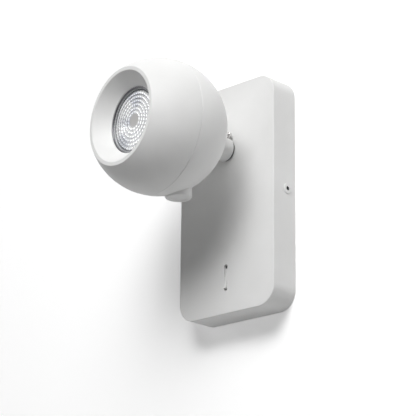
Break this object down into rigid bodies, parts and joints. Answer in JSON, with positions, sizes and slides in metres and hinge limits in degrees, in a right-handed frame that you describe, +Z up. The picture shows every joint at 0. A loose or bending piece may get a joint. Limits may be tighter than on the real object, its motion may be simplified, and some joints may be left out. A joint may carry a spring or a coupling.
{
  "type": "pivoting spotlight wall light",
  "caption": "Wall spotlight: a ball-shaped head with a recessed reflector lamp, pivoting on a swivel stem from a slim rounded wall box with a rocker switch.",
  "frame": {"origin": "middle of the wall box's back, on the wall plane", "axes": "+Z up along the wall box, +Y into the wall, the light faces -Y"},
  "size_m": [0.1022, 0.1338, 0.18],
  "materials": {
    "white_paint": "satin white powder coat",
    "zinc_steel": "zinc plated",
    "bright_steel": "bright nickel plated",
    "white_plastic": "matt moulded",
    "dark_plastic": "matt moulded",
    "brass": "plain",
    "rubber": "matt",
    "nylon": "natural nylon",
    "lead_sleeve": "silicone sleeve",
    "spring_steel": "dark spring steel",
    "lamp_shell": "smooth moulded",
    "lamp_clear": "clear polycarbonate",
    "board": "white coated",
    "ceramic": "glazed ceramic"
  },
  "bodies": {
    "root": {"box_cover": "white_paint", "mounting_plate": "zinc_steel", "cover_screws": "white_paint", "cable_grommet": "rubber", "cable_clamp": "white_plastic", "clamp_screws": "zinc_steel", "terminal_block": "white_plastic", "terminal_inserts": "brass", "terminal_screws": "zinc_steel", "terminal_fixing_screws": "zinc_steel", "earth_washer": "zinc_steel", "earth_screw": "brass", "switch_body": "dark_plastic", "switch_screws": "zinc_steel", "switch_pivot_pin": "bright_steel", "switch_contacts": "brass", "switch_leads": "lead_sleeve"},
    "stem": {"swivel_stem": "white_paint", "friction_washer": "dark_plastic", "wave_washer": "spring_steel", "stop_washer": "zinc_steel", "stem_nuts": "zinc_steel", "threaded_tube": "zinc_steel", "stem_lock_screw": "bright_steel", "yoke": "zinc_steel", "yoke_nuts": "zinc_steel", "pivot_screws": "zinc_steel", "pivot_nuts": "zinc_steel", "pivot_washers": "nylon", "tube_leads": "lead_sleeve"},
    "head": {"rear_shell": "white_paint", "front_shell": "white_paint", "lamp_baffle": "white_paint", "pivot_plugs": "white_paint", "lamp_retaining_ring": "spring_steel", "lamp_body": "lamp_shell", "lamp_lens": "lamp_clear", "lamp_optic": "lamp_clear", "led_board": "board", "lamp_pins": "bright_steel", "lampholder": "ceramic", "holder_contacts": "brass"},
    "rocker": {"switch_rocker": "white_plastic"}
  },
  "joints": [
    {"name": "stem_roll", "type": "hinge", "parent": "root", "child": "stem", "pos_m": [0, -0.0315, 0.038], "axis": [0, -1, 0], "range_deg": [-160, 160]},
    {"name": "head_swing", "type": "hinge", "parent": "stem", "child": "head", "pos_m": [0, -0.075, 0.038], "axis": [0, 0, 1], "range_deg": [-33.5, 46.5]},
    {"name": "rocker_tilt", "type": "hinge", "parent": "root", "child": "rocker", "pos_m": [0, -0.019, -0.063], "axis": [1, 0, 0], "range_deg": [0, 14]}
  ]
}
